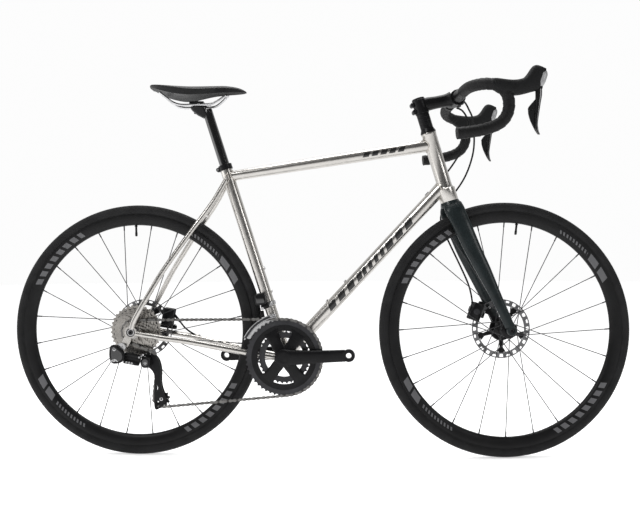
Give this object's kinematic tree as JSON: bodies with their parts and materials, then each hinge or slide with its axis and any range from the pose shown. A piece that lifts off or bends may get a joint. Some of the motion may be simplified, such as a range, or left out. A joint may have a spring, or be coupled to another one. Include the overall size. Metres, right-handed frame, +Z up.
{
  "type": "road bicycle",
  "caption": "Road bicycle with a raw metal frame, drop bar, hydraulic disc brakes, two chainrings and a wide cassette, without pedals.",
  "frame": {"origin": "on the floor under the rear axle, where the rear tyre rests", "axes": "+X forward, +Y to the rider's left, +Z up"},
  "size_m": [1.6628, 0.4795, 0.9955],
  "materials": {
    "bare_metal": "brushed raw titanium",
    "silver": "satin",
    "dark_metal": "dark anodised",
    "spoke_steel": "blackened",
    "chain_steel": "satin nickel",
    "black_satin": "satin black anodised",
    "black_plastic": "satin black",
    "carbon": "satin carbon composite",
    "rubber": "matte",
    "tyre": "matte",
    "saddle_cover": "matte synthetic cover"
  },
  "bodies": {
    "frame": {"head_tube": "bare_metal", "top_tube": "bare_metal", "down_tube": "bare_metal", "seat_tube": "bare_metal", "bottom_bracket_shell": "bare_metal", "left_chainstay": "bare_metal", "right_chainstay": "bare_metal", "left_seatstay": "bare_metal", "right_seatstay": "bare_metal", "seat_collar": "black_satin", "bottom_bracket_unit": "black_satin", "rear_axle": "dark_metal", "rear_caliper": "black_satin", "front_derailleur_body": "black_satin", "rear_derailleur_body": "black_satin", "chain": "chain_steel", "rear_brake_hose": "rubber"},
    "seat": {"seatpost": "black_satin", "saddle_clamp": "black_satin", "saddle_rails": "silver", "saddle": "saddle_cover"},
    "crankset": {"right_crank_arm": "black_satin", "left_crank_arm": "black_satin", "large_chainring": "dark_metal", "small_chainring": "dark_metal"},
    "rear_wheel": {"rear_tyre": "tyre", "rear_rim": "black_satin", "rear_left_spokes": "spoke_steel", "rear_right_spokes": "spoke_steel", "rear_hub": "black_satin", "rear_rotor": "silver"},
    "cassette": {"cassette": "silver"},
    "rear_derailleur_link": {"rear_derailleur_link": "black_satin"},
    "rear_derailleur_knuckle": {"rear_derailleur_knuckle": "black_satin"},
    "rear_derailleur_cage": {"rear_derailleur_cage": "black_satin"},
    "guide_pulley": {"guide_pulley": "black_plastic"},
    "tension_pulley": {"tension_pulley": "black_plastic"},
    "front_derailleur_cage": {"front_derailleur_cage": "silver"},
    "steering": {"fork": "carbon", "headset_spacers": "black_satin", "stem": "black_satin", "stem_faceplate": "black_satin", "handlebar": "rubber", "left_lever_body": "rubber", "right_lever_body": "rubber", "front_caliper": "black_satin", "front_axle": "dark_metal", "front_brake_hose": "rubber"},
    "front_wheel": {"front_tyre": "tyre", "front_rim": "black_satin", "front_left_spokes": "spoke_steel", "front_right_spokes": "spoke_steel", "front_hub": "black_satin", "front_rotor": "silver"},
    "left_brake_lever": {"left_brake_lever": "black_plastic"},
    "right_brake_lever": {"right_brake_lever": "black_plastic"},
    "left_upper_paddle": {"left_upper_shift_paddle": "black_plastic"},
    "left_lower_paddle": {"left_lower_shift_paddle": "black_plastic"},
    "right_upper_paddle": {"right_upper_shift_paddle": "black_plastic"},
    "right_lower_paddle": {"right_lower_shift_paddle": "black_plastic"}
  },
  "joints": [
    {"name": "steering", "type": "hinge", "parent": "frame", "child": "steering", "pos_m": [0.8135, 0, 0.7715], "axis": [-0.289, 0, 0.9573], "range_deg": [-66.9, 53.1], "deforming": ["rear_brake_hose"]},
    {"name": "front_wheel_spin", "type": "hinge", "parent": "steering", "child": "front_wheel", "pos_m": [0.98801, 0.00507, 0.33841], "axis": [-0.115, 0.9928, -0.0347], "continuous": true},
    {"name": "rear_wheel_spin", "type": "hinge", "parent": "frame", "child": "rear_wheel", "pos_m": [0, 0, 0.3385], "axis": [0, 1, 0], "continuous": true},
    {"name": "crank_spin", "type": "hinge", "parent": "frame", "child": "crankset", "pos_m": [0.401, 0, 0.2695], "axis": [0, 1, 0], "continuous": true},
    {"name": "cassette_spin", "type": "hinge", "parent": "frame", "child": "cassette", "pos_m": [0, 0, 0.3385], "axis": [0, 1, 0], "continuous": true},
    {"name": "rear_derailleur_shift", "type": "hinge", "parent": "frame", "child": "rear_derailleur_link", "pos_m": [-0.022, -0.074, 0.275], "axis": [0.1673, 0.5216, 0.8366], "range_deg": [-19, 35], "deforming": ["chain"]},
    {"name": "rear_derailleur_knuckle_turn", "type": "hinge", "parent": "rear_derailleur_link", "child": "rear_derailleur_knuckle", "pos_m": [0.028, -0.074, 0.265], "axis": [0.1673, 0.5216, 0.8366], "range_deg": [-35, 19], "deforming": ["chain"]},
    {"name": "rear_derailleur_cage_swing", "type": "hinge", "parent": "rear_derailleur_knuckle", "child": "rear_derailleur_cage", "pos_m": [0.036, -0.066, 0.256], "axis": [0, 1, 0], "range_deg": [-35, 25], "stiffness_Nm_per_rad": 0.6, "deforming": ["chain"]},
    {"name": "guide_pulley_spin", "type": "hinge", "parent": "rear_derailleur_cage", "child": "guide_pulley", "pos_m": [0.041, -0.05018, 0.263], "axis": [0, 1, 0], "continuous": true},
    {"name": "tension_pulley_spin", "type": "hinge", "parent": "rear_derailleur_cage", "child": "tension_pulley", "pos_m": [0.075, -0.05018, 0.16], "axis": [0, 1, 0], "continuous": true},
    {"name": "front_derailleur_shift", "type": "slide", "parent": "frame", "child": "front_derailleur_cage", "axis": [0, 1, 0], "range_m": [0, 0.007], "deforming": ["chain"]},
    {"name": "left_brake_lever_pull", "type": "hinge", "parent": "steering", "child": "left_brake_lever", "pos_m": [0.98685, 0.24015, 0.9291], "axis": [-0.115, 0.9928, -0.0347], "range_deg": [0, 20], "stiffness_Nm_per_rad": 0.6},
    {"name": "right_brake_lever_pull", "type": "hinge", "parent": "steering", "child": "right_brake_lever", "pos_m": [1.03584, -0.18277, 0.9439], "axis": [-0.115, 0.9928, -0.0347], "range_deg": [0, 20], "stiffness_Nm_per_rad": 0.6},
    {"name": "left_upper_paddle_press", "type": "hinge", "parent": "left_brake_lever", "child": "left_upper_paddle", "pos_m": [0.97399, 0.23775, 0.90315], "axis": [-0.9934, -0.115, 0.002], "range_deg": [0, 6], "stiffness_Nm_per_rad": 0.2},
    {"name": "left_lower_paddle_press", "type": "hinge", "parent": "left_brake_lever", "child": "left_lower_paddle", "pos_m": [0.97186, 0.23644, 0.87267], "axis": [-0.9934, -0.115, 0.002], "range_deg": [0, 6], "stiffness_Nm_per_rad": 0.2},
    {"name": "right_upper_paddle_press", "type": "hinge", "parent": "right_brake_lever", "child": "right_upper_paddle", "pos_m": [1.02298, -0.18516, 0.91794], "axis": [0.9934, 0.115, -0.002], "range_deg": [0, 6], "stiffness_Nm_per_rad": 0.2},
    {"name": "right_lower_paddle_press", "type": "hinge", "parent": "right_brake_lever", "child": "right_lower_paddle", "pos_m": [1.02086, -0.18648, 0.88746], "axis": [0.9934, 0.115, -0.002], "range_deg": [0, 6], "stiffness_Nm_per_rad": 0.2},
    {"name": "seatpost_height", "type": "slide", "parent": "frame", "child": "seat", "axis": [-0.3007, 0, 0.9537], "range_m": [-0.08, 0.05]}
  ],
  "couplings": [
    {"joint": "cassette_spin", "follows": "crank_spin", "ratio": 3.3333},
    {"joint": "guide_pulley_spin", "follows": "crank_spin", "ratio": -4.5455},
    {"joint": "tension_pulley_spin", "follows": "crank_spin", "ratio": 4.5455},
    {"joint": "rear_derailleur_knuckle_turn", "follows": "rear_derailleur_shift", "ratio": -1}
  ]
}
